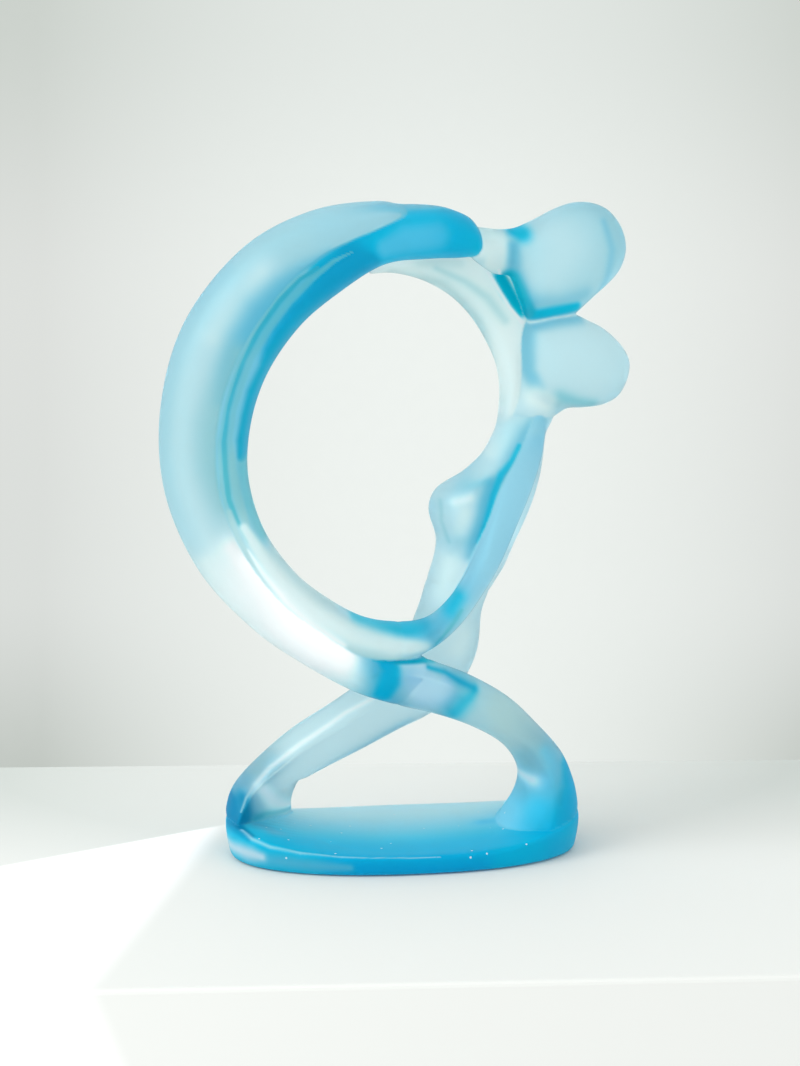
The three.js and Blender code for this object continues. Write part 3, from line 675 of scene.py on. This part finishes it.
def frostedGlass():
    material = bpy.data.materials.new("frostedGlass")
    material.use_nodes = True
    tree = material.node_tree
    surface = tree.nodes["Principled BSDF"]
    place = tree.nodes.new("ShaderNodeTexCoord").outputs["Object"]
    tint = tree.nodes.new("ShaderNodeAttribute")
    tint.attribute_name = "tint"
    # soft clouds in the tint
    cloud = noiseNode(tree, place, glass["cloud"], glass["cloudDetail"])
    cloud = mathNode(tree, "MULTIPLY", cloud, glass["cloudDepth"])
    share = mathNode(tree, "ADD", cloud, 1 - glass["cloudDepth"] / 2)
    scaled = tree.nodes.new("ShaderNodeVectorMath")
    scaled.operation = "SCALE"
    tree.links.new(tint.outputs["Color"], scaled.inputs[0])
    tree.links.new(share, scaled.inputs["Scale"])
    clouded = scaled.outputs["Vector"]
    # small bubbles, as pale specks low on the skin
    cells = tree.nodes.new("ShaderNodeTexVoronoi")
    cells.inputs["Scale"].default_value = glass["bubbleCells"]
    tree.links.new(place, cells.inputs["Vector"])
    chance = tree.nodes.new("ShaderNodeSeparateColor")
    tree.links.new(cells.outputs["Color"], chance.inputs["Color"])
    height = tree.nodes.new("ShaderNodeSeparateXYZ")
    tree.links.new(place, height.inputs["Vector"])
    small = mathNode(tree, "LESS_THAN", cells.outputs["Distance"], glass["bubbleSize"])
    few = mathNode(tree, "GREATER_THAN", chance.outputs["Red"], glass["bubbleSpare"])
    low = mathNode(tree, "LESS_THAN", height.outputs["Z"], glass["bubbleTop"])
    bubble = mathNode(tree, "MULTIPLY", mathNode(tree, "MULTIPLY", small, few), low)
    tree.links.new(mixedColour(tree, bubble, clouded, glass["bubbleTint"]), surface.inputs["Base Color"])
    # fine etched grain
    relief = tree.nodes.new("ShaderNodeBump")
    relief.inputs["Distance"].default_value = glass["grainDepth"]
    tree.links.new(noiseNode(tree, place, glass["grain"]), relief.inputs["Height"])
    tree.links.new(relief.outputs["Normal"], surface.inputs["Normal"])
    surface.inputs["Roughness"].default_value = glass["roughness"]
    surface.inputs["Specular IOR Level"].default_value = glass["gloss"]
    surface.inputs["Specular Tint"].default_value = (*glass["mirrorTint"], 1)
    surface.inputs["IOR"].default_value = glass["index"]
    surface.inputs["Transmission Weight"].default_value = glass["clear"]
    tree.links.new(tint.outputs["Alpha"], surface.inputs["Transmission Weight"])
    inside = tree.nodes.new("ShaderNodeVolumeAbsorption")
    inside.inputs["Color"].default_value = (*glass["tint"], 1)
    inside.inputs["Density"].default_value = glass["density"]
    tree.links.new(inside.outputs["Volume"], tree.nodes["Material Output"].inputs["Volume"])
    return material


coat = paintedTint(points, quads, normals).astype(np.float32)
castMesh.attributes.new("tint", "FLOAT_COLOR", "POINT").data.foreach_set("color", coat.ravel())
castObject.data.materials.append(frostedGlass())
print("the glass is tinted")


# Table. The casting sees it, and the room, in one pale colour, whatever the camera sees there.
paleRoom = (0.80, 0.83, 0.81)

table = {
    "colour": (0.675, 0.695, 0.67),
    # painted shade: the table darkens towards its far edge, except for a bright middle behind the glass
    "farShade": (0.50, 0.54, 0.51),
    "sunlit": (0.97, 0.97, 0.97),
    "roughness": 0.75,
    "drop": 0.0003,              # metres of air under the base
    "thick": 0.07,
    "halfLength": 3.0,
    "edge": 0.002,               # radius of its rounded edges
    "edgeSteps": 3,
    "fade": 0.22,                # metres from the far edge over which the table brightens
    "brightHalf": 0.2,           # half width of its bright middle
    "brightShare": 0.85,         # how far the far part brightens there
    "grain": 9.0,                # soft unevenness, per metre
    "grainDetail": 4.0,
    "grainDepth": 0.06,
    "grainTint": (0.6, 0.62, 0.6),
    "sunEdges": (0.002, 0.009),  # softness of the sunlit patch's rear and side edges
}

# Edges on the table, each between two of the picture's pixels
pictureEdges = {
    "far": ((0, 766), (800, 758)),       # the table's far edge
    "near": ((75, 990), (800, 975)),     # its near edge
    "sunRear": ((215, 826), (0, 866)),   # the sunlit patch's two edges
    "sunSide": ((78, 990), (215, 826)),
}
sunFoot = (110, 1066)                    # where its side edge leaves the picture on the table's face
upright = Vector((0, 0, 1))
edges = {name: [sightPoint(*end, Vector(), upright) for end in ends] for name, ends in pictureEdges.items()}


def glassRays(tree):
    # whether a ray comes from the camera, and whether it has met glass
    path = tree.nodes.new("ShaderNodeLightPath").outputs
    throughGlass = mathNode(tree, "MAXIMUM", path["Is Glossy Ray"], path["Is Transmission Ray"])
    return path["Is Camera Ray"], throughGlass


def mixedShader(tree, share, first, second):
    node = tree.nodes.new("ShaderNodeMixShader")
    for socket, value in zip(node.inputs, (share, first, second)):
        tree.links.new(value, socket)
    return node.outputs[0]


def sideOf(tree, place, start, end, softness, lower=None):
    # 0 to 1 from right to left of the upright plane through two points, or of the leaning one through three
    down = (lower - start) if lower else -upright
    side = (end - start).cross(down).normalized()
    middle = side.dot(start)
    return rangeNode(tree, alongNode(tree, place, side), middle - softness, middle + softness,
                     blend="SMOOTHSTEP")


def tableSlab():
    drop = Vector((0, 0, -table["drop"]))
    top = []
    for name in ("far", "near"):
        run = (edges[name][1] - edges[name][0]).normalized() * table["halfLength"]
        middle = (edges[name][0] + edges[name][1]) / 2 + drop
        top += [middle - run, middle + run]
    low = [corner - upright * table["thick"] for corner in top]
    sides = [(2, 3, 1, 0), (4, 5, 7, 6), (6, 7, 3, 2), (0, 1, 5, 4), (4, 6, 2, 0), (1, 3, 7, 5)]
    slab = bpy.data.meshes.new("table")
    slab.from_pydata(top + low, [], sides)
    item = bpy.data.objects.new("table", slab)
    scene.collection.objects.link(item)
    rounded = item.modifiers.new("edge", "BEVEL")
    rounded.width, rounded.segments = table["edge"], table["edgeSteps"]
    return item


def tableSurface():
    material = bpy.data.materials.new("table")
    material.use_nodes = True
    tree = material.node_tree
    surface = tree.nodes["Principled BSDF"]
    surface.inputs["Roughness"].default_value = table["roughness"]
    place = tree.nodes.new("ShaderNodeTexCoord").outputs["Object"]
    far, near = edges["far"], edges["near"]
    run = (far[1] - far[0]).normalized()
    half = table["fade"] / 2
    shift = Vector((run.y, -run.x, 0)) * half
    nearness = sideOf(tree, place, far[1] + shift, far[0] + shift, half)
    # painted shade: its far part stays bright behind the glass and darkens to both sides
    aside = alongNode(tree, place, run)
    squared = mathNode(tree, "MULTIPLY", aside, aside)
    bright = rangeNode(tree, squared, 0.0, table["brightHalf"] ** 2, (table["brightShare"], 0.0))
    nearness = mathNode(tree, "MAXIMUM", nearness, bright)
    colour = mixedColour(tree, nearness, table["farShade"], table["colour"])
    grain = noiseNode(tree, place, table["grain"], table["grainDetail"])
    grain = mathNode(tree, "MULTIPLY", grain, table["grainDepth"])
    colour = mixedColour(tree, grain, colour, table["grainTint"])
    # the sunlit patch turns down over the near edge
    lower = sightPoint(*sunFoot, near[0], (near[1] - near[0]).cross(upright))
    rear = sideOf(tree, place, *edges["sunRear"], table["sunEdges"][0])
    side = sideOf(tree, place, *edges["sunSide"], table["sunEdges"][1], lower)
    sun = mathNode(tree, "MULTIPLY", rear, side)
    tree.links.new(mixedColour(tree, sun, colour, table["sunlit"]), surface.inputs["Base Color"])
    pale = tree.nodes.new("ShaderNodeEmission")
    pale.inputs["Color"].default_value = (*paleRoom, 1)
    shown = mixedShader(tree, glassRays(tree)[1], surface.outputs[0], pale.outputs[0])
    tree.links.new(shown, tree.nodes["Material Output"].inputs["Surface"])
    return material


item = tableSlab()
item.data.materials.append(tableSurface())
print("the table stands")

# Lamps: place, aim and size in metres, and watts
lamps = {
    "sunPatch": {"place": (-0.75, -0.75, 0.03), "aim": (-0.04, 0, 0.12), "size": (0.7, 0.4), "watts": 2},
    "window": {"place": (-1.6, -0.5, 1.3), "aim": (0, 0, 0.15), "size": (1.2, 1.2), "watts": 20},
}


def softLamp(name, place, aim, size, watts):
    light = bpy.data.lights.new(name, "AREA")
    light.shape = "RECTANGLE"
    light.size, light.size_y = size
    light.energy = watts
    lamp = bpy.data.objects.new(name, light)
    lamp.location = place
    lamp.rotation_mode = "QUATERNION"
    lamp.rotation_quaternion = (Vector(aim) - Vector(place)).to_track_quat("-Z", "Y")
    scene.collection.objects.link(lamp)


for name, values in lamps.items():
    softLamp(name, **values)
print("the lamps are lit")

# Wall, as colours from its foot to its top, and the room's light on plain surfaces
wall = {
    # painted shade: the side colours and the wall's top are darker than its middle
    "middle": ((0.86, 0.90, 0.87), (0.87, 0.91, 0.88), (0.87, 0.91, 0.88), (0.77, 0.81, 0.78)),
    "sides": ((0.50, 0.54, 0.50), (0.71, 0.735, 0.71), (0.73, 0.75, 0.725), (0.60, 0.64, 0.60)),
    "heights": (0.0, 0.3, 0.62, 1.0),   # where those colours lie, as shares of the wall in the picture
    "foot": -0.27,                      # its foot and top, as the upward part of the line of sight
    "top": 0.02,
    "centre": 0.01,                     # its brightest place across, as the sideways part of that line
    "spread": 0.018,                    # square of the distance over which it darkens to its sides
    "plaster": 220.0,
    "plasterDetail": 3.0,
    "plasterDepth": 0.1,
    "plasterTint": (0.7, 0.73, 0.71),
    "light": (1.0, 1.0, 1.0),
    "strength": 1.1,
}


def wallRamp(tree, height, colours):
    node = tree.nodes.new("ShaderNodeValToRGB")
    ramp = node.color_ramp
    ramp.interpolation = "EASE"
    for at in wall["heights"][1:-1]:
        ramp.elements.new(at)
    for element, at, colour in zip(ramp.elements, wall["heights"], colours):
        element.position = at
        element.color = (*colour, 1)
    tree.links.new(height, node.inputs["Fac"])
    return node.outputs["Color"]


def wallColour(tree):
    # a plastered wall with painted shade: bright in its middle and darker towards its foot, its top and its
    # sides
    ray = tree.nodes.new("ShaderNodeTexCoord").outputs["Generated"]
    height = rangeNode(tree, alongNode(tree, ray, upright), wall["foot"], wall["top"])
    turn = math.radians(camera["azimuth"])
    across = alongNode(tree, ray, (math.cos(turn), math.sin(turn), 0))
    aside = mathNode(tree, "SUBTRACT", across, wall["centre"])
    fade = rangeNode(tree, mathNode(tree, "MULTIPLY", aside, aside), 0.0, wall["spread"])
    columns = [wallRamp(tree, height, wall[name]) for name in ("middle", "sides")]
    rough = noiseNode(tree, ray, wall["plaster"], wall["plasterDetail"])
    rough = mathNode(tree, "MULTIPLY", rough, wall["plasterDepth"])
    return mixedColour(tree, rough, mixedColour(tree, fade, *columns), wall["plasterTint"])


def room():
    world = bpy.data.worlds.new("room")
    scene.world = world
    world.use_nodes = True
    tree = world.node_tree
    plain = tree.nodes["Background"]
    plain.inputs["Color"].default_value = (*wall["light"], 1)
    plain.inputs["Strength"].default_value = wall["strength"]
    fromCamera, throughGlass = glassRays(tree)
    seen = tree.nodes.new("ShaderNodeBackground")
    tree.links.new(mixedColour(tree, fromCamera, paleRoom, wallColour(tree)), seen.inputs["Color"])
    shown = mixedShader(tree, mathNode(tree, "MAXIMUM", fromCamera, throughGlass),
                        plain.outputs[0], seen.outputs[0])
    tree.links.new(shown, tree.nodes["World Output"].inputs["Surface"])


room()
scene.view_settings.view_transform = "Standard"
scene.cycles.max_bounces = glass["bounces"]
scene.cycles.transmission_bounces = glass["bounces"]
scene.cycles.glossy_bounces = glass["bounces"]
print("the room is lit")
